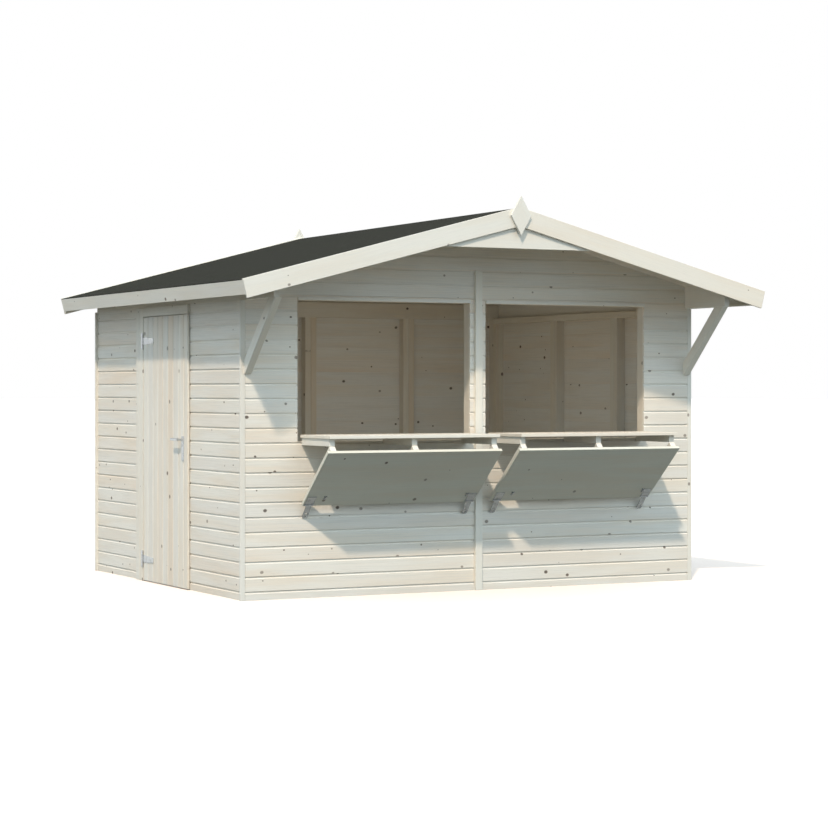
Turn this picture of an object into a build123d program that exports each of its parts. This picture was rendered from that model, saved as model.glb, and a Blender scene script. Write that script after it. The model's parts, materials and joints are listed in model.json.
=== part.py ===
# Wooden market hut with two open serving hatches and a hinged side door.
# Millimetres. X runs to the right seen from the front, Y to the back, Z up.
# The origin is on the ground, under the centre of the roof's plan.

import math
import os

from build123d import *

# Body; the width is over the side walls' cladding, and the front and back walls run past it
body_width = 3460.0
body_depth = 2768.0
wall_height = 1938.0
cladding_thickness = 18.0
end_overlap = 18.0
frame_depth = 70.0
stud_width = 48.0
plate_height = 45.0
panel_width = 864.0
joint_gap = 1.0

# Trims on the outside of the cladding
trim_thickness = 20.0
trim_width = 60.0
corner_strip_width = 34.0
batten_width = 52.0

# Roof
roof_pitch = 14.6
side_overhang = 245.0
front_overhang = 571.0
rear_overhang = 121.0
felt_thickness = 4.0
deck_thickness = 18.0
bargeboard_width = 122.0
bargeboard_thickness = 18.0
bargeboard_lip = 4.0
fascia_width = 92.0
fascia_thickness = 18.0
beam_thickness = 38.0
beam_depth = 142.5
ridge_beam_width = 48.0
ridge_beam_height = 145.0
rafter_width = 36.0
rafter_depth = 70.0
gusset_drop = 272.0
gusset_thickness = 18.0
finial_height = 262.0
finial_width = 152.0
finial_thickness = 18.0
finial_tip_above_ridge = 74.0

# Braces under the front overhang
brace_reach = 488.0
brace_depth = 70.0
brace_thickness = 48.0
brace_inset = 8.0
brace_heel = 12.0

# Windows, one in each front panel
window_inset = 60.0
window_width = 1284.0
window_height = 924.0
window_over_wall = 6.0
head_strip_height = 22.0
head_strip_thickness = 12.0
gable_joint_rise = 226.0
front_plate_rise = 142.0
back_rail_height = 120.0

# Serving hatches: a counter on bearers, and a flap that folds down from their front ends
counter_end_gap = 20.5
counter_reach = 450.0
counter_thickness = 20.0
counter_over_sill = 46.0
bearer_reach = 419.0
bearer_width = 40.0
bearer_height = 48.0
bearer_end_margin = 9.0
flap_end_gap = 6.0
flap_height = 530.0
flap_thickness = 20.0
flap_angle = 41.6
flap_batten_thickness = 36.0
flap_batten_short = 6.0

# Hasps on the flaps' lower corners; their ends reach the wall
hasp_inset = 42.0
hasp_width = 40.0
hasp_thickness = 3.0
hasp_angle = 51.0
hasp_plate_width = 64.0
hasp_plate_height = 80.0
hasp_pin_radius = 4.5
hasp_pin_margin = 12.0
hasp_corner_radius = 12.0
hasp_slot_length = 32.0
hasp_slot_width = 13.0
hasp_slot_margin = 13.0
hasp_wall_gap = 0.3
button_left_offset = 88.0
button_right_offset = 50.0
button_rise = 80.0
button_length = 36.0
button_width = 10.0
button_thickness = 5.0
button_post_radius = 5.0
button_post_height = 12.0

# Door in the left wall, measured back from the front corner
door_front = 904.0
door_width = 840.0
door_thickness = 15.0
door_bottom = 7.0
door_gap = 5.0
door_overlap_front = 26.0
door_overlap_rear = 12.0
door_overlap_top = 20.0
door_header_gap = 6.0
door_header_height = 62.0
hinge_strip_width = 76.0
side_batten_gap = 3.0
ledge_width = 96.0
ledge_thickness = 20.0
ledge_end_gap = 10.0
lowest_ledge = 130.0
middle_ledge = 780.0
top_ledge_drop = 190.0

# T hinges
hinge_leaf_thickness = 3.0
hinge_knuckle_radius = 6.0
hinge_pin_radius = 3.0
hinge_pin_clearance = 0.05
hinge_plate_width = 32.0
hinge_plate_height = 115.0
hinge_strap_length = 200.0
hinge_strap_root = 55.0
hinge_strap_tip = 35.0
hinge_knuckle_height = 40.0
hinge_side_gap = 0.5
lower_hinge = 158.0
upper_hinge_drop = 167.0

# Door handles
handle_backset = 79.0
handle_plate_width = 38.0
handle_plate_height = 165.0
handle_plate_thickness = 4.0
handle_plate_bottom = 876.0
lever_below_plate_top = 21.0
lever_length = 125.0
lever_radius = 9.0
neck_radius = 7.5
lever_stand_off = 42.0

# Levels and planes worked out from the driving sizes
slope = math.tan(math.radians(roof_pitch))
rise = math.cos(math.radians(roof_pitch))
finial_reach = front_overhang + finial_thickness
total_depth = finial_reach + body_depth + rear_overhang + finial_thickness
front_y = finial_reach - total_depth / 2
back_y = front_y + body_depth
cladding_x = body_width / 2
half_body = cladding_x + end_overlap
frame_x = cladding_x - cladding_thickness
inner_x = frame_x - frame_depth
beam_inner = cladding_x - beam_thickness
roof_half = cladding_x + side_overhang
front_frame_y = front_y + cladding_thickness
front_inner_y = front_frame_y + frame_depth
back_frame_y = back_y - cladding_thickness
back_inner_y = back_frame_y - frame_depth
roof_front_y = front_y - front_overhang + bargeboard_thickness
roof_back_y = back_y + rear_overhang - bargeboard_thickness
window_outer = window_inset + window_width
window_top = wall_height + window_over_wall
window_bottom = window_top - window_height
gable_joint_height = wall_height + gable_joint_rise
front_plate_top = wall_height + front_plate_rise
back_rail_top = wall_height + front_plate_rise - rafter_depth / 2
roof_build_up = bargeboard_lip + (felt_thickness + deck_thickness) / rise
ridge_top = wall_height + beam_depth + cladding_x * slope + roof_build_up

os.makedirs("parts", exist_ok=True)
nodes = {}


def bargeboard_top(x):
    return ridge_top - abs(x) * slope


def felt_top(x):
    return bargeboard_top(x) - bargeboard_lip


def deck_top(x):
    return felt_top(x) - felt_thickness / rise


def deck_bottom(x):
    return deck_top(x) - deck_thickness / rise


def eave_point(down, back):
    """A point near the eave, measured down from the bargeboard's top edge and back up the slope."""
    lean = math.radians(roof_pitch)
    x = roof_half - down * math.sin(lean) - back * math.cos(lean)
    return x, bargeboard_top(roof_half) - down * math.cos(lean) + back * math.sin(lean)


def across(middle, width):
    return (middle - width / 2, middle + width / 2)


def block(x_range, y_range, z_range):
    """A straight piece of timber between two planes along each axis."""
    size = [high - low for low, high in (x_range, y_range, z_range)]
    middle = [(high + low) / 2 for low, high in (x_range, y_range, z_range)]
    return Pos(*middle) * Box(*size)


def cut_along_y(outline, y_range):
    """A piece with an (x, z) outline, as thick as y_range."""
    low, high = y_range
    plane = Plane(origin=(0, low, 0), x_dir=(1, 0, 0), z_dir=(0, -1, 0))
    return extrude(plane * make_face(Polyline(*outline, close=True)), amount=low - high)


def cut_along_x(outline, x_range):
    """A piece with a (y, z) outline, as thick as x_range."""
    low, high = x_range
    plane = Plane(origin=(low, 0, 0), x_dir=(0, 1, 0), z_dir=(1, 0, 0))
    return extrude(plane * make_face(Polyline(*outline, close=True)), amount=high - low)


def mirrored(shape):
    return mirror(shape, about=Plane.YZ)


def pair(shape):
    """The right-hand piece and its mirror image, as one node."""
    return separate([shape, mirrored(shape)])


def both_sides(name, shape):
    """The right-hand piece and its mirror image, as two nodes."""
    nodes[name + "_right"] = shape
    nodes[name + "_left"] = mirrored(shape)


def separate(pieces):
    """Pieces of one node that do not touch."""
    solids = [solid for piece in pieces for solid in piece.solids()]
    return Compound(solids)


# Front wall cladding: two panels with a window each, and a gable panel
def front_panel():
    low = joint_gap / 2
    edge = half_body - corner_strip_width - joint_gap
    outline = [
        (low, 0), (edge, 0), (edge, wall_height), (beam_inner, wall_height),
        (beam_inner, deck_bottom(beam_inner)),
        ((deck_bottom(0) - gable_joint_height) / slope, gable_joint_height),
        (low, gable_joint_height),
    ]
    panel = cut_along_y(outline, (front_y, front_frame_y))
    window = block(
        (window_inset, window_outer),
        (front_y - 1, front_frame_y + 1),
        (window_bottom, window_top),
    )
    return panel - window


def gable_panel(y_range):
    bottom = gable_joint_height
    half = (deck_bottom(0) - bottom) / slope
    beam_half = ridge_beam_width / 2
    beam_low = deck_bottom(0) - ridge_beam_height
    outline = [
        (-half, bottom), (half, bottom), (beam_half, deck_bottom(beam_half)),
        (beam_half, beam_low), (-beam_half, beam_low), (-beam_half, deck_bottom(beam_half)),
    ]
    return cut_along_y(outline, y_range)


both_sides("front_wall", front_panel())
nodes["front_gable"] = gable_panel((front_y, front_frame_y))


# Back wall cladding, one sheet of boards up to the roof
def back_wall():
    beam_half = ridge_beam_width / 2
    beam_low = deck_bottom(0) - ridge_beam_height
    edge = half_body - corner_strip_width - joint_gap
    right = [
        (edge, 0), (edge, wall_height), (beam_inner, wall_height),
        (beam_inner, deck_bottom(beam_inner)), (beam_half, deck_bottom(beam_half)),
        (beam_half, beam_low),
    ]
    left = [(-x, z) for x, z in reversed(right)]
    return cut_along_y(right + left, (back_frame_y, back_y))


nodes["back_wall"] = back_wall()

# Side wall cladding, between the front and back cladding
side_y_range = (front_frame_y, back_frame_y)
nodes["right_wall"] = block((frame_x, cladding_x), side_y_range, (0, wall_height))

door_y_front = front_y + door_front
door_y_rear = door_y_front + door_width
opening_front = door_y_front + door_overlap_front
opening_rear = door_y_rear - door_overlap_rear
header_bottom = wall_height - door_header_height
door_top = header_bottom - door_header_gap
opening_top = door_top - door_overlap_top
left_cladding = (-cladding_x, -frame_x)
nodes["left_wall_front"] = block(left_cladding, (front_frame_y, opening_front), (0, wall_height))
nodes["left_wall_rear"] = block(left_cladding, (opening_rear, back_frame_y), (0, wall_height))
nodes["left_wall_over_door"] = block(
    left_cladding, (opening_front, opening_rear), (opening_top, wall_height)
)


# Framing: studs and rails of each wall, and rafters up the front and back gables
front_y_range = (front_frame_y, front_inner_y)
back_y_range = (back_inner_y, back_frame_y)
front_plate_low = front_plate_top - plate_height
sill_low = window_bottom - stud_width
head_top = window_top + stud_width


def front_studs():
    middle = (window_inset + window_outer) / 2
    full = (plate_height, front_plate_low)
    right = [
        block((joint_gap / 2, window_inset), front_y_range, full),
        block((window_outer, window_outer + stud_width), front_y_range, full),
        block((beam_inner - stud_width, beam_inner), front_y_range, full),
        block(across(middle, stud_width), front_y_range, (plate_height, sill_low)),
    ]
    return right + [mirrored(stud) for stud in right]


def front_rails():
    levels = [
        (joint_gap / 2, beam_inner, 0, plate_height),
        (window_inset, window_outer, sill_low, window_bottom),
        (window_inset, window_outer, window_top, head_top),
        (joint_gap / 2, beam_inner, front_plate_low, front_plate_top),
    ]
    right = [block((x0, x1), front_y_range, (z0, z1)) for x0, x1, z0, z1 in levels]
    return right + [mirrored(rail) for rail in right]


def rafter(plate_top, y_range):
    """Under the roof boards, from the ridge beam to the eave beam, seated on the top plate."""
    inner = ridge_beam_width / 2
    drop = rafter_depth / rise
    heel = (deck_bottom(0) - drop - plate_top) / slope
    outline = [(inner, deck_bottom(inner)), (beam_inner, deck_bottom(beam_inner)),
               (beam_inner, plate_top), (heel, plate_top), (inner, deck_bottom(inner) - drop)]
    return cut_along_y(outline, y_range)


def gable_rafters():
    low, high = front_y_range
    front = rafter(front_plate_top, (low, low + rafter_width))
    low, high = back_y_range
    back = rafter(back_rail_top, (high - rafter_width, high))
    return [front, back]


def back_studs():
    z_range = (plate_height, back_rail_top - back_rail_height)
    gap = joint_gap / 2
    right = [
        block((gap, stud_width), back_y_range, z_range),
        block((panel_width - stud_width, panel_width - gap), back_y_range, z_range),
        block((panel_width + gap, panel_width + stud_width), back_y_range, z_range),
        block((beam_inner - stud_width, beam_inner), back_y_range, z_range),
    ]
    return right + [mirrored(stud) for stud in right]


def back_rails():
    x_range = (-beam_inner, beam_inner)
    return [
        block(x_range, back_y_range, (0, plate_height)),
        block(x_range, back_y_range, (back_rail_top - back_rail_height, back_rail_top)),
    ]


side_plate_low = wall_height - plate_height


def side_stud(y_low, width=stud_width):
    return block((inner_x, frame_x), (y_low, y_low + width), (plate_height, side_plate_low))


def right_studs():
    gap = joint_gap / 2
    studs = [side_stud(front_inner_y), side_stud(back_inner_y - stud_width)]
    for joint in (front_y + panel_width, front_y + 2 * panel_width):
        studs.append(side_stud(joint - stud_width, stud_width - gap))
        studs.append(side_stud(joint + gap, stud_width - gap))
    return studs


def left_studs():
    places = [
        front_inner_y, opening_front - stud_width, opening_rear, back_inner_y - stud_width,
    ]
    return [mirrored(side_stud(place)) for place in places]


def side_rail(y_range, z_range):
    return block((inner_x, frame_x), y_range, z_range)


side_length = (front_inner_y, back_inner_y)
foot_range = (0, plate_height)
head_range = (side_plate_low, wall_height)
lintel_range = (opening_top, side_plate_low - joint_gap)
nodes["front_studs"] = separate(front_studs())
nodes["front_rails"] = separate(front_rails())
nodes["back_studs"] = separate(back_studs())
nodes["back_rails"] = separate(back_rails())
nodes["gable_rafters"] = separate(gable_rafters() + [mirrored(piece) for piece in gable_rafters()])
nodes["right_studs"] = separate(right_studs())
nodes["right_rails"] = separate([side_rail(side_length, foot_range), side_rail(side_length, head_range)])
nodes["left_studs"] = separate(left_studs())
nodes["left_rails"] = separate([
    mirrored(side_rail((front_inner_y, opening_front), foot_range)),
    mirrored(side_rail((opening_rear, back_inner_y), foot_range)),
    mirrored(side_rail(side_length, head_range)),
    mirrored(side_rail((opening_front, opening_rear), lintel_range)),
])

# Roof beams, deck, felt and edges
roof_y_range = (roof_front_y, roof_back_y)
felt_down = bargeboard_lip * rise
deck_down = felt_down + felt_thickness


def eave_beam():
    outline = [
        (beam_inner, wall_height), (cladding_x, wall_height),
        (cladding_x, deck_bottom(cladding_x)), (beam_inner, deck_bottom(beam_inner)),
    ]
    return cut_along_y(outline, (front_y - brace_reach, back_y))


def ridge_beam():
    half = ridge_beam_width / 2
    low = deck_bottom(0) - ridge_beam_height
    outline = [(-half, low), (half, low), (half, deck_bottom(half)), (0, deck_bottom(0)),
               (-half, deck_bottom(half))]
    return cut_along_y(outline, (roof_front_y + gusset_thickness, back_y))


def deck():
    outline = [(0, deck_bottom(0)), eave_point(deck_down + deck_thickness, fascia_thickness),
               eave_point(deck_down, fascia_thickness), (0, deck_top(0))]
    return cut_along_y(outline, roof_y_range)


def felt():
    outline = [(0, deck_top(0)), eave_point(deck_down, 0), eave_point(felt_down, 0), (0, felt_top(0))]
    return cut_along_y(outline, roof_y_range)


def fascia():
    """Square to the slope, with its top edge under the felt."""
    outline = [eave_point(deck_down, 0), eave_point(deck_down + fascia_width, 0),
               eave_point(deck_down + fascia_width, fascia_thickness), eave_point(deck_down, fascia_thickness)]
    return cut_along_y(outline, roof_y_range)


def bargeboard(y_range):
    """Mitred at the ridge, and cut square to the slope at the eave."""
    outline = [(0, ridge_top), eave_point(0, 0), eave_point(bargeboard_width, 0),
               (0, ridge_top - bargeboard_width / rise)]
    return cut_along_y(outline, y_range)


def finial(y_low):
    middle = ridge_top + finial_tip_above_ridge - finial_height / 2
    outline = [(0, middle + finial_height / 2), (finial_width / 2, middle),
               (0, middle - finial_height / 2), (-finial_width / 2, middle)]
    return cut_along_y(outline, (y_low, y_low + finial_thickness))


def gusset():
    gusset_bottom = ridge_top - gusset_drop
    half = (deck_bottom(0) - gusset_bottom) / slope
    outline = [(-half, gusset_bottom), (half, gusset_bottom), (0, deck_bottom(0))]
    return cut_along_y(outline, (roof_front_y, roof_front_y + gusset_thickness))


def brace():
    """Between the front wall and the end of the cantilevered beam, at 45 degrees, with a level heel."""
    foot = wall_height - brace_reach
    along = brace_depth * math.sqrt(2)
    outline = [(front_y, foot + brace_heel), (front_y - brace_heel, foot + brace_heel),
               (front_y - brace_reach, wall_height), (front_y - brace_reach + along, wall_height),
               (front_y, foot + along)]
    outer = cladding_x - brace_inset
    return cut_along_x(outline, (outer - brace_thickness, outer))


nodes["eave_beams"] = pair(eave_beam())
nodes["ridge_beam"] = ridge_beam()
both_sides("roof_deck", deck())
both_sides("roof_felt", felt())
nodes["fascias"] = pair(fascia())
both_sides("front_bargeboard", bargeboard((roof_front_y - bargeboard_thickness, roof_front_y)))
both_sides("rear_bargeboard", bargeboard((roof_back_y, roof_back_y + bargeboard_thickness)))
nodes["finials"] = separate([finial(front_y - finial_reach), finial(back_y + rear_overhang)])
nodes["gable_gusset"] = gusset()
nodes["braces"] = pair(brace())


# Trims on the walls
def corner_strips():
    """They close the ends of the front and back boards, flush with their faces."""
    x_range = (half_body - corner_strip_width, half_body)
    z_range = (0, wall_height)
    right = [
        block(x_range, (front_y, front_frame_y), z_range),
        block(x_range, (back_frame_y, back_y), z_range),
    ]
    return right + [mirrored(strip) for strip in right]


def head_strip():
    return block(
        (window_inset, window_outer),
        (front_y - head_strip_thickness, front_y),
        (window_top, window_top + head_strip_height),
    )


hinge_strip_front = door_y_rear + door_gap
hinge_strip_rear = hinge_strip_front + hinge_strip_width
side_batten_front = hinge_strip_rear + side_batten_gap
left_trim = (-cladding_x - trim_thickness, -cladding_x)
nodes["corner_strips"] = separate(corner_strips())
nodes["centre_batten"] = block(
    across(0, batten_width), (front_y - trim_thickness, front_y), (0, gable_joint_height)
)
nodes["window_head_strips"] = pair(head_strip())
nodes["door_side_strips"] = separate([
    block(left_trim, (hinge_strip_front, hinge_strip_rear), (0, wall_height)),
    block(left_trim, (side_batten_front, side_batten_front + trim_width), (0, wall_height)),
])
nodes["door_header"] = block(
    left_trim, (door_y_front, hinge_strip_front), (header_bottom, wall_height)
)

# Serving hatches, centred on the windows
hatch_middle = window_inset + window_width / 2
counter_length = window_width - 2 * counter_end_gap
flap_length = window_width - 2 * flap_end_gap
counter_top = window_bottom + counter_over_sill
counter_bottom = counter_top - counter_thickness
bearer_bottom = counter_bottom - bearer_height
bearer_spacing = counter_length / 2 - bearer_end_margin - bearer_width / 2
bearer_middles = [hatch_middle + side * bearer_spacing for side in (-1, 0, 1)]
fold_y = front_y - bearer_reach
flap_lean = math.radians(flap_angle)


def counter():
    return block(
        across(hatch_middle, counter_length),
        (front_y - counter_reach, front_y),
        (counter_bottom, counter_top),
    )


def bearer(middle):
    return block(
        across(middle, bearer_width), (fold_y, front_y), (bearer_bottom, counter_bottom)
    )


def flap_point(down, outwards):
    """A (y, z) point, down the slope from the fold and outwards from the battens' inner faces."""
    return (
        fold_y + down * math.cos(flap_lean) - outwards * math.sin(flap_lean),
        bearer_bottom - down * math.sin(flap_lean) - outwards * math.cos(flap_lean),
    )


def flap():
    inner = flap_batten_thickness
    outer = inner + flap_thickness
    outline = [flap_point(0, inner), flap_point(flap_height, inner),
               flap_point(flap_height, outer), flap_point(0, outer)]
    return cut_along_x(outline, across(hatch_middle, flap_length))


def flap_batten(middle):
    """From the fold to just short of the flap's lower edge."""
    end = flap_height - flap_batten_short
    outline = [flap_point(0, 0), flap_point(end, 0),
               flap_point(end, flap_batten_thickness), flap_point(0, flap_batten_thickness)]
    return cut_along_x(outline, across(middle, bearer_width))




def hasp(middle):
    """A hinged strap with a slot, which hangs past the flap's lower edge to the wall."""
    face = flap_batten_thickness + flap_thickness
    pivot_down = flap_height - hasp_pin_margin
    top = pivot_down - hasp_plate_height
    plate_outline = [flap_point(top, face), flap_point(pivot_down, face),
                     flap_point(pivot_down, face + hasp_thickness), flap_point(top, face + hasp_thickness)]
    plate = cut_along_x(plate_outline, across(middle, hasp_plate_width))
    pivot_y, pivot_z = flap_point(pivot_down, face + hasp_pin_radius)
    pin = Pos(middle, pivot_y, pivot_z) * Rot(0, 90, 0) * Cylinder(hasp_pin_radius, hasp_plate_width)
    lean = math.radians(hasp_angle)
    length = (front_y - hasp_wall_gap - pivot_y - hasp_thickness / 2 * math.sin(lean)) / math.cos(lean)
    plane = Plane(origin=(middle, pivot_y, pivot_z), x_dir=(1, 0, 0),
                  z_dir=(0, -math.sin(lean), -math.cos(lean)))
    strap = extrude(plane * Pos(0, -length / 2) * RectangleRounded(hasp_width, length, hasp_corner_radius),
                    amount=hasp_thickness / 2, both=True)
    slot_middle = hasp_slot_margin + hasp_slot_length / 2 - length
    slot = extrude(plane * Pos(0, slot_middle) * SlotOverall(hasp_slot_length, hasp_slot_width, rotation=90),
                   amount=hasp_thickness, both=True)
    return plate + pin + (strap - slot)


def turn_button(middle):
    """A small cross bar on a post, beside the hasp."""
    face = flap_batten_thickness + flap_thickness
    down = flap_height - hasp_pin_margin - button_rise
    foot_y, foot_z = flap_point(down, face)
    plane = Plane(origin=(middle, foot_y, foot_z), x_dir=(1, 0, 0),
                  z_dir=(0, -math.sin(flap_lean), -math.cos(flap_lean)))
    post = extrude(plane * Circle(button_post_radius), amount=button_post_height)
    top = plane.offset(button_post_height - button_thickness / 2)
    bar = extrude(top * Rot(0, 0, 60) * RectangleRounded(button_length, button_width, button_width / 3),
                  amount=button_thickness)
    return post + bar


def latches():
    inner = hatch_middle - flap_length / 2 + hasp_inset
    outer = hatch_middle + flap_length / 2 - hasp_inset
    pieces = []
    for left, right in ((inner, outer), (-outer, -inner)):
        pieces += [hasp(left), turn_button(left + button_left_offset)]
        pieces += [hasp(right), turn_button(right - button_right_offset)]
    return pieces


nodes["counters"] = pair(counter())
nodes["counter_bearers"] = pair(separate([bearer(middle) for middle in bearer_middles]))
nodes["flaps"] = pair(flap())
nodes["flap_battens"] = pair(separate([flap_batten(middle) for middle in bearer_middles]))
nodes["flap_latches"] = separate(latches())

# Door: leaf, ledges on its inner face, T hinges and handles
leaf_outer = -cladding_x - trim_thickness
leaf_inner = leaf_outer + door_thickness
hinge_x = leaf_outer - hinge_knuckle_radius
hinge_y = door_y_rear + door_gap / 2


def ledge(z_middle):
    return block(
        (leaf_inner, leaf_inner + ledge_thickness),
        (opening_front + ledge_end_gap, opening_rear - ledge_end_gap),
        (z_middle - ledge_width / 2, z_middle + ledge_width / 2),
    )


def barrel(radius, z_range):
    low, high = z_range
    return Pos(hinge_x, hinge_y, (low + high) / 2) * Cylinder(radius, high - low)


def hinge_strap(z_middle):
    """The tapered strap on the leaf, with the middle knuckle round the pin."""
    half = hinge_knuckle_height / 2
    root = hinge_y - hinge_knuckle_radius
    tip = root - hinge_strap_length
    outline = [
        (hinge_y, z_middle - half), (hinge_y, z_middle + half),
        (root, z_middle + half), (root, z_middle + hinge_strap_root / 2),
        (tip, z_middle + hinge_strap_tip / 2), (tip, z_middle - hinge_strap_tip / 2),
        (root, z_middle - hinge_strap_root / 2), (root, z_middle - half),
    ]
    strap = cut_along_x(outline, (leaf_outer - hinge_leaf_thickness, leaf_outer))
    z_range = (z_middle - half, z_middle + half)
    knuckle = barrel(hinge_knuckle_radius, z_range)
    hole = barrel(hinge_pin_radius + hinge_pin_clearance, (z_range[0] - 1, z_range[1] + 1))
    return strap + knuckle - hole


def hinge_plate(z_middle):
    """The upright plate on the strip, with the end knuckles and the pin."""
    half = hinge_knuckle_height / 2 + hinge_side_gap
    end = hinge_plate_height / 2
    plate = block(
        (leaf_outer - hinge_leaf_thickness, leaf_outer),
        (hinge_y + hinge_knuckle_radius + hinge_side_gap, hinge_strip_front + hinge_plate_width),
        (z_middle - end, z_middle + end),
    )
    pieces = plate
    for low, high in ((half, end), (-end, -half)):
        z_range = (z_middle + low, z_middle + high)
        bridge = block(
            (leaf_outer - hinge_leaf_thickness, leaf_outer),
            (hinge_y, hinge_strip_front + hinge_plate_width), z_range,
        )
        pieces = pieces + bridge + barrel(hinge_knuckle_radius, z_range)
    return pieces + barrel(hinge_pin_radius, (z_middle - end, z_middle + end))


def handle(face_x, outward):
    """A long plate with a lever that points towards the hinges."""
    middle_y = door_y_front + handle_backset
    plate = block(
        tuple(sorted((face_x, face_x + outward * handle_plate_thickness))),
        (middle_y - handle_plate_width / 2, middle_y + handle_plate_width / 2),
        (handle_plate_bottom, handle_plate_bottom + handle_plate_height),
    )
    lever_height = handle_plate_bottom + handle_plate_height - lever_below_plate_top
    neck_x = face_x + outward * lever_stand_off / 2
    neck = Pos(neck_x, middle_y, lever_height) * Rot(0, 90, 0) * Cylinder(neck_radius, lever_stand_off)
    lever_x = face_x + outward * lever_stand_off
    lever = (
        Pos(lever_x, middle_y + lever_length / 2 - lever_radius, lever_height)
        * Rot(90, 0, 0) * Cylinder(lever_radius, lever_length)
    )
    return plate + neck + lever


nodes["door_leaf"] = block((leaf_outer, leaf_inner), (door_y_front, door_y_rear), (door_bottom, door_top))
nodes["door_ledges"] = separate([ledge(z) for z in (lowest_ledge, middle_ledge, door_top - top_ledge_drop)])
hinge_heights = (lower_hinge, door_top - upper_hinge_drop)
nodes["door_hinge_straps"] = separate([hinge_strap(z) for z in hinge_heights])
nodes["door_hinge_plates"] = separate([hinge_plate(z) for z in hinge_heights])
nodes["door_handles"] = separate([handle(leaf_outer, -1), handle(leaf_inner, 1)])

for name, shape in nodes.items():
    export_step(shape, f"parts/{name}.step")
    print(name, len(shape.solids()), round(shape.volume / 1e6, 3))
print("hinge axis", hinge_x, hinge_y)
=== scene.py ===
"""Looks of the wooden market hut: real boards, procedural timber, felt and steel, camera, light."""

import json
import math
import random

import bmesh
import bpy
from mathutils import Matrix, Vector


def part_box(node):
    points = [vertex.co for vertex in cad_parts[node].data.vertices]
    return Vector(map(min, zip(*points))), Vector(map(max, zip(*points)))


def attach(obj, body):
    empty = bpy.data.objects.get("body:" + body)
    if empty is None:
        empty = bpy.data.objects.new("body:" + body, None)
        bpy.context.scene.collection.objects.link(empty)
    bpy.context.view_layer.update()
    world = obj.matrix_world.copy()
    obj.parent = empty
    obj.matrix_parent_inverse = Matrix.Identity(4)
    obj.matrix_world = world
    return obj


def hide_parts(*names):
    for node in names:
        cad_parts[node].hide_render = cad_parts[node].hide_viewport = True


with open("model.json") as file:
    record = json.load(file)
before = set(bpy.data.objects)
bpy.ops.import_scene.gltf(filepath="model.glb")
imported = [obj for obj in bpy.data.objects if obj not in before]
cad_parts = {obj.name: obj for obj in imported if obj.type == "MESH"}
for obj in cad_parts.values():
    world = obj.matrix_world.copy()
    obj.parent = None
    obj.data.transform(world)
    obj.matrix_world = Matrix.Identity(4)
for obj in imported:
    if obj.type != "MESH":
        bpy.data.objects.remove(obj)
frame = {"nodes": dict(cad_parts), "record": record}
scene = bpy.context.scene
nodes = frame["nodes"]
bodies = frame["record"]["behaviour"]["bodies"]
body_of = {name: body for body, names in bodies.items() for name in names}
slot_of = {entry["node"]: entry["material_slot"] for entry in frame["record"]["subparts"]}
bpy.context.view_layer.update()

# Boards, in metres: a joint's groove and lip lie at the top of each board
PITCH = 0.096
BOARD = 0.018
FIRST_JOINT = 0.057
DOOR_FIRST_JOINT = 0.077
GROOVE = 0.0065
DOOR_GROOVE = 0.003
LIP_START = 0.0150
LIP_END = 0.0105
BOARD_EASE = 0.0012
ROOF_BOARD_EASE = 0.003
TIMBER_EASE = 0.0016
SLOPE = math.tan(math.radians(14.6))
# Left, right, sill and head of the right-hand window; the other one mirrors it
WINDOW = (0.060, 1.344, 1.020, 1.944)

# Timber pattern: cells that may hold a knot per metre, radians of grain wave per metre
KNOT_CELLS = 7.5
SMALLEST_KNOT, LARGEST_KNOT = 0.0034, 0.0125
GRAIN_WAVES = 560.0
# Boards with a tone above this one have a pinkish cast
PINKISH_TONE = 0.72

AXES = (Vector((1, 0, 0)), Vector((0, 1, 0)), Vector((0, 0, 1)))


def tint(red, green, blue):
    """A colour as it looks on the object, from 0 to 255, in linear light."""
    def linear(value):
        value = value / 255
        return value / 12.92 if value <= 0.04045 else ((value + 0.055) / 1.055) ** 2.4
    return (linear(red), linear(green), linear(blue), 1)


class Tree:
    """A short way to write a shader tree."""

    def __init__(self, tree):
        self.tree = tree

    def add(self, kind, settings=None, **inputs):
        """Adds a node; inputs go by the socket's name, or by its place as i0, i1 and so on."""
        node = self.tree.nodes.new(kind)
        for key, value in (settings or {}).items():
            setattr(node, key, value)
        for key, value in inputs.items():
            by_place = key[0] == "i" and key[1:].isdigit()
            self.put(node.inputs[int(key[1:]) if by_place else key], value)
        return node

    def put(self, socket, value):
        if isinstance(value, bpy.types.NodeSocket):
            self.tree.links.new(value, socket)
        elif isinstance(value, bpy.types.Node):
            self.tree.links.new(value.outputs[0], socket)
        else:
            socket.default_value = value

    def math(self, operation, a, b=0.0):
        return self.add("ShaderNodeMath", {"operation": operation}, i0=a, i1=b).outputs[0]

    def times(self, a, b):
        return self.math("MULTIPLY", a, b)

    def plus(self, a, b):
        return self.math("ADD", a, b)

    def ramp(self, value, low, high, start=0.0, end=1.0, kind="SMOOTHSTEP"):
        node = self.add("ShaderNodeMapRange", {"interpolation_type": kind})
        for index, item in enumerate((value, low, high, start, end)):
            self.put(node.inputs[index], item)
        return node.outputs[0]

    def mix(self, share, a, b, blend="MIX"):
        settings = {"data_type": "RGBA", "blend_type": blend}
        return self.add("ShaderNodeMix", settings, i0=share, i6=a, i7=b).outputs[2]

    def noise(self, vector, scale, detail=4.0, rough=0.55):
        return self.add("ShaderNodeTexNoise", None, Vector=vector, Scale=scale, Detail=detail,
                        Roughness=rough).outputs[0]

    def split(self, vector):
        return self.add("ShaderNodeSeparateXYZ", None, i0=vector).outputs

    def seen(self):
        """1 for rays that show a background: from the camera, off gloss or through glass."""
        rays = self.add("ShaderNodeLightPath").outputs
        direct = self.math("MAXIMUM", rays["Is Camera Ray"], rays["Is Glossy Ray"])
        return self.math("MAXIMUM", direct, rays["Is Transmission Ray"])


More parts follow.
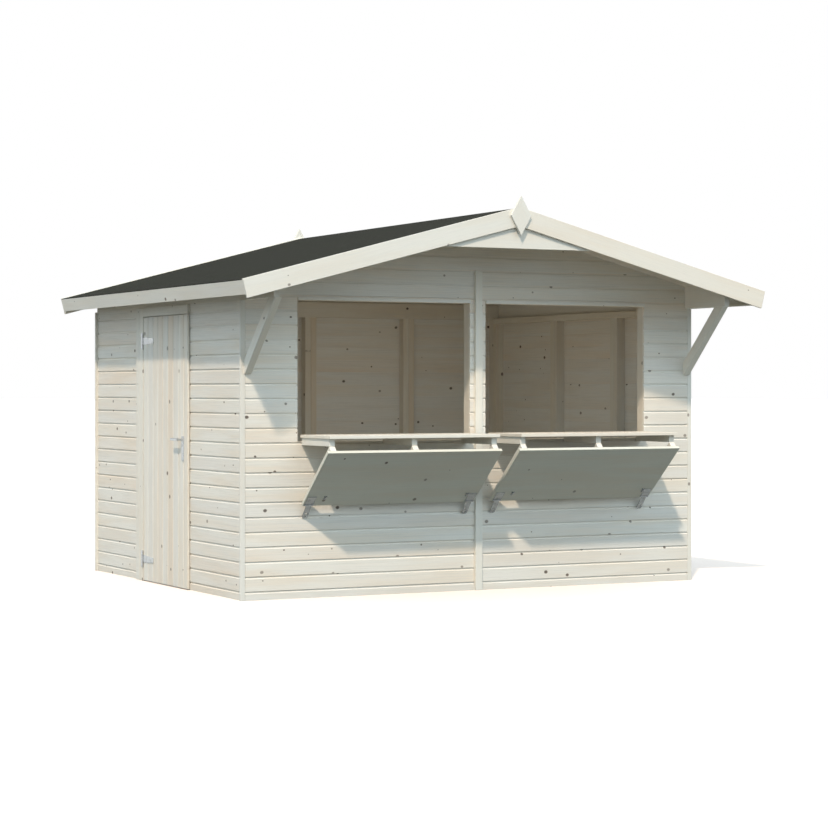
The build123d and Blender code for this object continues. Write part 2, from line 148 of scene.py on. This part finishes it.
class Surface(Tree):
    """The shader tree of a new material."""

    def __init__(self, name):
        self.material = bpy.data.materials.new(name)
        self.material.use_nodes = True
        super().__init__(self.material.node_tree)
        self.shader = self.tree.nodes["Principled BSDF"].inputs

    def set(self, name, value):
        self.put(self.shader[name], value)

    def along_grain(self, grain, along, across, detail, rough=0.55):
        """Noise with its own scale along and across the grain."""
        stretched = self.add("ShaderNodeVectorMath", {"operation": "MULTIPLY"}, i0=grain,
                             i1=(along, across, across)).outputs[0]
        return self.noise(stretched, 1.0, detail, rough)

    def bump(self, strength, distance, height):
        self.set("Normal", self.add("ShaderNodeBump", None, Strength=strength, Distance=distance,
                                    Height=height).outputs[0])


def knots(s, grain, knot_share):
    """Round knots in random cells of the board's own plane: dark core, ring and wide halo."""
    along, across = s.split(grain)[:2]
    wobble = s.along_grain(grain, 18, 30, 2.0)
    shift = s.times(s.math("SUBTRACT", wobble, 0.5), 0.006)
    plane = s.add("ShaderNodeCombineXYZ", None, i0=s.plus(s.times(along, 0.8), shift),
                  i1=s.plus(across, shift)).outputs[0]
    cells = s.add("ShaderNodeTexVoronoi", {"voronoi_dimensions": "2D", "feature": "F1"},
                  Vector=plane, Scale=KNOT_CELLS, Randomness=1.0).outputs
    away = s.math("DIVIDE", cells["Distance"], KNOT_CELLS)
    chance = s.add("ShaderNodeSeparateColor", None, i0=cells["Color"]).outputs
    radius = s.ramp(s.math("POWER", chance[1], 1.2), 0.0, 1.0, SMALLEST_KNOT, LARGEST_KNOT)
    is_knot = s.math("LESS_THAN", chance[0], knot_share)
    near = s.math("DIVIDE", away, radius)
    darkness = s.times(is_knot, s.ramp(chance[2], 0.0, 1.0, 0.66, 1.0))
    core = s.times(s.ramp(near, 0.60, 1.15, 1.0, 0.0), darkness)
    ring = s.times(s.ramp(near, 1.0, 2.3, 1.0, 0.0), is_knot)
    halo = s.times(s.ramp(near, 1.0, 6.0, 1.0, 0.0), is_knot)
    return core, ring, halo


def timber(name, pale, warm, grey, knot_share=0.30):
    """Softwood under a thin stain: streaks and waves along the grain, and dark knots."""
    s = Surface(name)
    grain = s.add("ShaderNodeAttribute", {"attribute_name": "grain"}).outputs["Vector"]
    tone = s.add("ShaderNodeAttribute", {"attribute_name": "tone"}).outputs["Fac"]
    core, ring, halo = knots(s, grain, knot_share)
    # Grain lines sway, and bend round the knots
    sway = s.along_grain(grain, 0.9, 5.0, 3.0)
    bent = s.plus(s.times(sway, 0.055), s.times(halo, 0.016))
    waves = s.math("SINE", s.times(s.plus(s.split(grain)[1], bent), GRAIN_WAVES))
    arches = s.times(s.times(s.plus(waves, 1.0), 0.5), s.along_grain(grain, 1.6, 7.0, 2.0))
    streaks = s.along_grain(grain, 3.0, 190.0, 5.0, 0.62)
    fine = s.along_grain(grain, 14.0, 620.0, 3.0, 0.7)
    cloud = s.along_grain(grain, 1.1, 9.0, 3.0)

    knot = tint(74, 58, 46)
    colour = s.mix(s.ramp(cloud, 0.36, 0.66), pale, warm)
    colour = s.mix(s.times(s.ramp(streaks, 0.46, 0.72), 0.70), colour, grey)
    colour = s.mix(s.times(arches, 0.44), colour, warm)
    colour = s.mix(s.times(s.ramp(fine, 0.55, 0.8), 0.16), colour, knot)
    colour = s.mix(s.times(ring, 0.30), colour, warm)
    colour = s.mix(s.times(core, 0.92), colour, knot)
    pinkish = s.mix(0.6, colour, tint(232, 206, 190), "MULTIPLY")
    colour = s.mix(s.ramp(tone, PINKISH_TONE, 1.0, 0.0, 0.26), colour, pinkish)
    s.set("Base Color", s.add("ShaderNodeHueSaturation", None, Color=colour,
                              Value=s.ramp(tone, 0.0, 1.0, 0.965, 1.02),
                              Saturation=s.ramp(tone, 0.0, 1.0, 0.85, 1.10)).outputs[0])
    s.set("Roughness", s.ramp(streaks, 0.3, 0.7, 0.54, 0.72))
    relief = s.plus(s.times(streaks, 0.55), s.times(fine, 0.45))
    s.bump(0.55, 0.0006, s.math("SUBTRACT", relief, s.times(core, 0.8)))
    return s.material


def steel(name, dark):
    """Hot-dip galvanised steel: pale spangle and dull patches, with painted shade mixed in by the
    share given.
    """
    s = Surface(name)
    place = s.add("ShaderNodeTexCoord").outputs["Object"]
    cells = s.add("ShaderNodeTexVoronoi", None, Vector=place, Scale=240.0).outputs["Color"]
    spangle = s.add("ShaderNodeSeparateColor", None, i0=cells).outputs[0]
    dull = s.noise(place, 34.0)
    colour = s.mix(s.times(spangle, 0.5), tint(178, 181, 184), tint(214, 216, 217))
    colour = s.mix(s.ramp(dull, 0.5, 0.75, 0.0, 0.6), colour, tint(150, 150, 148))
    # A dark grey mixed in by the share given: painted shade for steel that sits in shade
    s.set("Base Color", s.mix(dark, colour, tint(52, 56, 54)))
    s.set("Metallic", 0.85)
    s.set("Roughness", s.ramp(dull, 0.3, 0.7, 0.32, 0.55))
    s.bump(0.3, 0.0003, s.noise(place, 160.0, 3.0))
    return s.material


def roofing(name):
    """Mineral-faced roofing felt: dark grit with paler grains and faint weathering."""
    s = Surface(name)
    place = s.add("ShaderNodeTexCoord").outputs["Object"]
    grit = s.add("ShaderNodeTexVoronoi", None, Vector=place, Scale=520.0).outputs
    grain = s.add("ShaderNodeSeparateColor", None, i0=grit["Color"]).outputs[0]
    patches = s.noise(place, 2.6, 5.0, 0.6)
    colour = s.mix(s.ramp(grain, 0.55, 1.0), tint(38, 39, 36), tint(58, 60, 54))
    s.set("Base Color", s.mix(s.ramp(patches, 0.42, 0.72, 0.0, 0.4), colour, tint(51, 53, 47)))
    s.set("Specular IOR Level", 0.02)
    s.set("Roughness", s.ramp(patches, 0.3, 0.7, 0.86, 0.96))
    s.bump(0.8, 0.0009, s.plus(s.times(grit["Distance"], 0.6), s.noise(place, 60.0, 3.0)))
    return s.material


wall_timber = timber("whitewashed_boards", tint(232, 230, 223), tint(229, 221, 208),
                     tint(213, 212, 206))
trim_timber = timber("whitewashed_trim", tint(230, 228, 220), tint(228, 222, 210),
                     tint(221, 220, 214), knot_share=0.20)
# The flaps' timber is greyer and darker than the wall boards: painted shade for the flaps' outer
# faces, which lie in shade. It darkens their inner faces and edges as well
flap_timber = timber("flap_timber", tint(216, 217, 205), tint(214, 209, 193),
                     tint(208, 211, 201), knot_share=0.20)
inner_timber = timber("inner_timber", tint(223, 218, 206), tint(219, 209, 192),
                      tint(211, 207, 197), knot_share=0.26)
MATERIALS = {"cladding": wall_timber, "trim": trim_timber, "framing": inner_timber,
             "roof_boards": inner_timber, "galvanised_steel": steel("galvanised_steel", 0.0),
             "roof_felt": roofing("roofing_felt")}
# Steel for the flap latches, darkened with painted shade because they sit in the shade under the
# hatch flaps
shaded_latch_steel = steel("steel_with_painted_shade", 0.58)


def draw_board(dice):
    """A random place in the timber's pattern, and a random tone."""
    return (dice.uniform(0, 40), dice.uniform(0, 40), dice.uniform(0, 9)), dice.random()


def shifted(point, offset):
    return tuple(a + b for a, b in zip(point, offset))


def add_piece(name, mesh, grain, tone, material, node):
    """Puts a mesh in the place of a node; grain and tone hold a value for each vertex."""
    layer = mesh.attributes.new("grain", "FLOAT_VECTOR", "POINT")
    layer.data.foreach_set("vector", [value for point in grain for value in point])
    layer = mesh.attributes.new("tone", "FLOAT", "POINT")
    layer.data.foreach_set("value", tone)
    mesh.materials.append(material)
    piece = bpy.data.objects.new(name, mesh)
    scene.collection.objects.link(piece)
    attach(piece, body_of[node])
    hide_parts(node)


class Boards:
    """The boards of one node, collected as prisms."""

    done = set()

    def __init__(self, name, seed):
        self.name = name
        self.dice = random.Random(seed)
        self.verts, self.faces, self.grain, self.tone = [], [], [], []

    def prism(self, ends, grain, tone):
        """ends: two lists of points, matching one to one; grain: the same in the timber."""
        first = len(self.verts)
        count = len(ends[0])
        self.verts += ends[0] + ends[1]
        self.grain += grain[0] + grain[1]
        self.tone += [tone] * (2 * count)
        self.faces.append([first + i for i in range(count)])
        self.faces.append([first + count + i for i in reversed(range(count))])
        for i in range(count):
            j = (i + 1) % count
            self.faces.append([first + i, first + count + i, first + count + j, first + j])

    def build(self, node):
        mesh = bpy.data.meshes.new(self.name)
        mesh.from_pydata(self.verts, [], self.faces)
        bm = bmesh.new()
        bm.from_mesh(mesh)
        bmesh.ops.recalc_face_normals(bm, faces=bm.faces)
        bm.to_mesh(mesh)
        bm.free()
        add_piece(self.name, mesh, self.grain, self.tone, MATERIALS[slot_of[node]], node)
        self.done.add(node)


def board_outline(low, thick, groove):
    """(depth, height) outline of one board: a groove with a sloping lip along its top edge."""
    high = low + PITCH
    back = thick - BOARD_EASE
    return [(back, low), (BOARD_EASE, low), (0, low + BOARD_EASE), (0, high - LIP_START),
            (groove, high - LIP_END), (groove, high), (back, high), (thick, high - BOARD_EASE),
            (thick, low + BOARD_EASE)]


def trimmed(outline, low, high):
    """The part of a (depth, height) outline between two heights."""
    for limit, sign in ((low, 1), (high, -1)):
        kept = []
        for i, point in enumerate(outline):
            other = outline[(i + 1) % len(outline)]
            here = sign * (point[1] - limit)
            there = sign * (other[1] - limit)
            if here >= 0:
                kept.append(point)
            if here * there < 0:
                share = here / (here - there)
                kept.append(tuple(a + (b - a) * share for a, b in zip(point, other)))
        outline = kept
    return outline


def wall(name, place, regions, node, seed):
    """Lays boards over regions (low, high, start, end); start and end may depend on the height."""
    boards = Boards(name, seed)
    low = min(region[0] for region in regions)
    high = max(region[1] for region in regions)
    row = math.floor((low - FIRST_JOINT) / PITCH)
    while FIRST_JOINT + row * PITCH < high:
        board = board_outline(FIRST_JOINT + row * PITCH, BOARD, GROOVE)
        offset, tone = draw_board(boards.dice)
        for region_low, region_high, start, end in regions:
            outline = trimmed(board, region_low, region_high)
            if len(outline) < 3:
                continue
            ends, grains = [], []
            for side in (start, end):
                points = [(side(z) if callable(side) else side, depth, z) for depth, z in outline]
                ends.append([place(*point) for point in points])
                grains.append([shifted((u, z, depth), offset) for u, depth, z in points])
            boards.prism(ends, grains, tone)
        row += 1
    boards.build(node)


# Places that the boards take from the solids
panel_low, panel_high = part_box("front_wall_right")
beam_low, beam_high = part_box("eave_beams")
ridge_low, ridge_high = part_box("ridge_beam")
MIDDLE = panel_low.x
FRONT = panel_low.y
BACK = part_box("back_wall")[1].y
WIDE = panel_high.x
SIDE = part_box("right_wall")[1].x
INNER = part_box("front_rails")[1].x
JOINT = panel_high.z
BEAM = beam_low.z
HALF_RIDGE = ridge_high.x
RIDGE = ridge_low.z
DECK = beam_high.z + SLOPE * INNER
SHOULDER = DECK - SLOPE * INNER
GABLE_TOP = DECK - SLOPE * HALF_RIDGE


def under_roof(z):
    return (DECK - z) / SLOPE


def minus_under_roof(z):
    return -under_roof(z)


def front_regions(side):
    """The panel beside, under and over its window, and round the eave beam."""
    left, right, low, high = WINDOW
    pieces = [(0, JOINT, MIDDLE, left), (0, low, left, right), (high, JOINT, left, right),
              (0, BEAM, right, WIDE), (BEAM, SHOULDER, right, INNER),
              (SHOULDER, JOINT, right, under_roof)]
    if side > 0:
        return pieces
    return [(z0, z1, minus_under_roof if callable(end) else -end, -start)
            for z0, z1, start, end in pieces]


def gable_regions(low):
    """From low up to the roof, round the ridge beam."""
    return [(low, RIDGE, minus_under_roof, under_roof), (RIDGE, GABLE_TOP, HALF_RIDGE, under_roof),
            (RIDGE, GABLE_TOP, minus_under_roof, -HALF_RIDGE)]


def side_region(node):
    low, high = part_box(node)
    return [(low.z, high.z, low.y, high.y)]


def on_front(u, depth, z):
    return (u, FRONT + depth, z)


def on_back(u, depth, z):
    return (u, BACK - depth, z)


def on_right(u, depth, z):
    return (SIDE - depth, u, z)


def on_left(u, depth, z):
    return (-SIDE + depth, u, z)


wall("front_boards_right", on_front, front_regions(1), "front_wall_right", seed=11)
wall("front_boards_left", on_front, front_regions(-1), "front_wall_left", seed=12)
wall("gable_boards", on_front, gable_regions(JOINT), "front_gable", seed=13)
wall("back_boards", on_back, [(0, BEAM, -WIDE, WIDE), (BEAM, SHOULDER, -INNER, INNER)]
     + gable_regions(SHOULDER), "back_wall", seed=14)
right_low, right_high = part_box("right_wall")
wall("right_boards", on_right, [(0, BEAM, right_low.y, right_high.y)], "right_wall", seed=15)
wall("left_boards_front", on_left, side_region("left_wall_front"), "left_wall_front", seed=20)
wall("left_boards_rear", on_left, side_region("left_wall_rear"), "left_wall_rear", seed=21)
wall("left_boards_over_door", on_left, side_region("left_wall_over_door"),
     "left_wall_over_door", seed=22)


def door_boards():
    """Upright boards with a finer groove."""
    boards = Boards("door_boards", 31)
    low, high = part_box("door_leaf")
    edge = low.y + DOOR_FIRST_JOINT - PITCH
    while edge < high.y:
        outline = trimmed(board_outline(edge, high.x - low.x, DOOR_GROOVE), low.y, high.y)
        offset, tone = draw_board(boards.dice)
        ends = [[(low.x + depth, y, z) for depth, y in outline] for z in (low.z, high.z)]
        grains = [[shifted((z, y, depth), offset) for depth, y in outline]
                  for z in (low.z, high.z)]
        boards.prism(ends, grains, tone)
        edge += PITCH
    boards.build("door_leaf")


def roof_boards(name, node, side, seed):
    """Boards from ridge to eave, with eased edges that show the joints from below."""
    boards = Boards(name, seed)
    low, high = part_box(node)
    lean = math.atan(SLOPE)
    drop = BOARD / math.cos(lean)
    eave = max(abs(low.x), abs(high.x))
    foot = eave - BOARD * math.sin(lean)
    edge = low.y
    while edge < high.y:
        far_edge = edge + min(PITCH, high.y - edge)
        outline = [(0, edge), (0, far_edge), (drop - ROOF_BOARD_EASE, far_edge),
                   (drop, far_edge - ROOF_BOARD_EASE), (drop, edge + ROOF_BOARD_EASE),
                   (drop - ROOF_BOARD_EASE, edge)]
        offset, tone = draw_board(boards.dice)
        ends, grains = [], []
        for at_eave in (False, True):
            points = [(eave + (foot - eave) * depth / drop if at_eave else 0, depth, y)
                      for depth, y in outline]
            ends.append([(side * x, y, high.z - x * SLOPE - depth) for x, depth, y in points])
            grains.append([shifted((x, y, depth), offset) for x, depth, y in points])
        boards.prism(ends, grains, tone)
        edge += PITCH
    boards.build(node)


door_boards()
roof_boards("roof_boards_right", "roof_deck_right", 1, seed=42)
roof_boards("roof_boards_left", "roof_deck_left", -1, seed=40)


def islands(bm):
    """The vertices of each loose part of a mesh."""
    seen = set()
    for start in bm.verts:
        if start in seen:
            continue
        group = []
        stack = [start]
        seen.add(start)
        while stack:
            vert = stack.pop()
            group.append(vert)
            for edge in vert.link_edges:
                other = edge.other_vert(vert)
                if other not in seen:
                    seen.add(other)
                    stack.append(other)
        yield group


def spread(group, axis):
    values = [vert.co.dot(axis) for vert in group]
    return max(values) - min(values)


def dress(node, material):
    """Gives single timbers their solids' shape, with eased edges and grain along their length."""
    bm = bmesh.new()
    bm.from_mesh(nodes[node].data)
    bmesh.ops.remove_doubles(bm, verts=bm.verts, dist=1e-5)
    bmesh.ops.dissolve_limit(bm, angle_limit=math.radians(1), verts=bm.verts, edges=bm.edges)
    sharp = [edge for edge in bm.edges
             if edge.is_manifold and edge.calc_face_angle(0) > math.radians(20)]
    bmesh.ops.bevel(bm, geom=sharp, offset=TIMBER_EASE, segments=2, affect="EDGES", profile=0.5,
                    clamp_overlap=True)
    bm.verts.index_update()
    dice = random.Random(sum(ord(letter) for letter in node))
    grain = [None] * len(bm.verts)
    tone = [None] * len(bm.verts)
    for group in islands(bm):
        edges = [edge for vert in group for edge in vert.link_edges]
        longest = max(edges, key=lambda edge: edge.calc_length())
        along = (longest.verts[1].co - longest.verts[0].co).normalized()
        side = min(AXES, key=lambda axis: abs(axis.dot(along)))
        across = (side - along * side.dot(along)).normalized()
        third = along.cross(across)
        if spread(group, third) > spread(group, across):
            across, third = third, across
        offset, shade = draw_board(dice)
        for vert in group:
            point = (vert.co.dot(along), vert.co.dot(across), vert.co.dot(third))
            grain[vert.index] = shifted(point, offset)
            tone[vert.index] = shade
    mesh = bpy.data.meshes.new(node + "_timber")
    bm.to_mesh(mesh)
    bm.free()
    add_piece(node + "_timber", mesh, grain, tone, material, node)


for node in sorted(nodes):
    slot = slot_of[node]
    if node in Boards.done:
        continue
    if slot == "cladding":
        # The hatch flaps take the timber with painted shade
        dress(node, flap_timber if node == "flaps" else trim_timber)
    elif slot in ("trim", "framing"):
        dress(node, MATERIALS[slot])
    else:
        for entry in nodes[node].material_slots:
            # The flap latches take the steel with painted shade
            entry.material = shaded_latch_steel if node == "flap_latches" else MATERIALS[slot]


def lay_floor():
    """A pale floor that keeps the shadow; it returns little light, except inside the hut."""
    mesh = bpy.data.meshes.new("floor")
    mesh.from_pydata([(-160, -60, 0), (160, -60, 0), (160, 260, 0), (-160, 260, 0)], [],
                     [(0, 1, 2, 3)])
    floor = bpy.data.objects.new("floor", mesh)
    floor.location.z = -0.0005
    scene.collection.objects.link(floor)
    s = Surface("pale_floor")
    place = s.add("ShaderNodeTexCoord").outputs["Object"]
    x, y = s.split(place)[:2]
    between_sides = s.math("LESS_THAN", s.math("ABSOLUTE", x), SIDE)
    from_middle = s.math("ABSOLUTE", s.math("SUBTRACT", y, (FRONT + BACK) / 2))
    between_ends = s.math("LESS_THAN", from_middle, (BACK - FRONT) / 2)
    indoors = s.times(between_sides, between_ends)
    # A warm floor turns the cool sky's light in the shadow to a plain grey
    warmed = s.mix(s.noise(place, 9.0), (0.905, 0.79, 0.73, 1), (0.935, 0.82, 0.76, 1))
    to_camera = s.mix(indoors, warmed, (0.80, 0.78, 0.74, 1))
    is_camera = s.add("ShaderNodeLightPath").outputs["Is Camera Ray"]
    shown = s.mix(is_camera, (0.80, 0.81, 0.80, 1), to_camera)
    bounce = s.mix(indoors, (0.034, 0.035, 0.024, 1), (0.86, 0.80, 0.68, 1))
    s.set("Base Color", s.mix(s.seen(), bounce, shown))
    s.set("Roughness", 0.95)
    mesh.materials.append(s.material)


def light_world():
    """A sky that is cool before the hut, as in the photo, and plain behind it; white if seen."""
    world = bpy.data.worlds.new("studio")
    scene.world = world
    world.use_nodes = True
    t = Tree(world.node_tree)
    t.tree.nodes.clear()
    way = t.split(t.add("ShaderNodeTexCoord").outputs["Generated"])
    strength = t.ramp(way[2], 0.0, 1.0, 0.80, 1.60, "LINEAR")
    behind = t.ramp(way[1], 0.2, 0.7, kind="LINEAR")
    hue = t.mix(behind, (0.75, 0.91, 1.0, 1), (0.88, 0.91, 0.93, 1))
    sky = t.add("ShaderNodeBackground", None, Color=hue, Strength=strength)
    white = t.add("ShaderNodeBackground", None, Color=(1, 1, 1, 1), Strength=1.0)
    mixer = t.add("ShaderNodeMixShader", None, i0=t.seen(), i1=sky, i2=white)
    t.add("ShaderNodeOutputWorld", None, i0=mixer)


def add_sun(name, energy, angle, colour, travel):
    lamp = bpy.data.lights.new(name, "SUN")
    lamp.energy = energy
    lamp.angle = math.radians(angle)
    lamp.color = colour
    sun = bpy.data.objects.new(name, lamp)
    sun.rotation_euler = Vector(travel).to_track_quat("-Z", "Y").to_euler()
    scene.collection.objects.link(sun)


def add_room_lamp():
    """A weak warm lamp inside keeps the room from going black."""
    lamp = bpy.data.lights.new("room_fill", "POINT")
    lamp.energy = 6.5
    lamp.shadow_soft_size = 0.6
    lamp.color = (1.0, 0.95, 0.85)
    room = bpy.data.objects.new("room_fill", lamp)
    room.location = (0.1, 0.2, 1.35)
    room.visible_camera = False
    room.visible_glossy = False
    scene.collection.objects.link(room)


def place_camera():
    """The photo's view, fitted to the hut's corners."""
    camera_data = bpy.data.cameras.new("camera")
    camera_data.sensor_width = 36
    camera_data.lens = 98.03
    camera_data.shift_y = -0.0306
    camera_data.clip_end = 400
    camera = bpy.data.objects.new("camera", camera_data)
    camera.location = (-7.468, -14.522, 1.366)
    camera.rotation_euler = (math.radians(90), 0, math.radians(-27.58))
    scene.collection.objects.link(camera)
    scene.camera = camera


lay_floor()
light_world()
add_sun("key", 2.7, 2.2, (1.0, 0.835, 0.67), travel=(0.78, 1.0, -1.49))
# A soft cool fill from the front right, low enough to reach under the hatches
add_sun("fill", 0.34, 32, (0.84, 0.95, 1.0), travel=(-0.35, 1.0, -0.72))
add_room_lamp()
place_camera()
scene.view_settings.view_transform = "Standard"
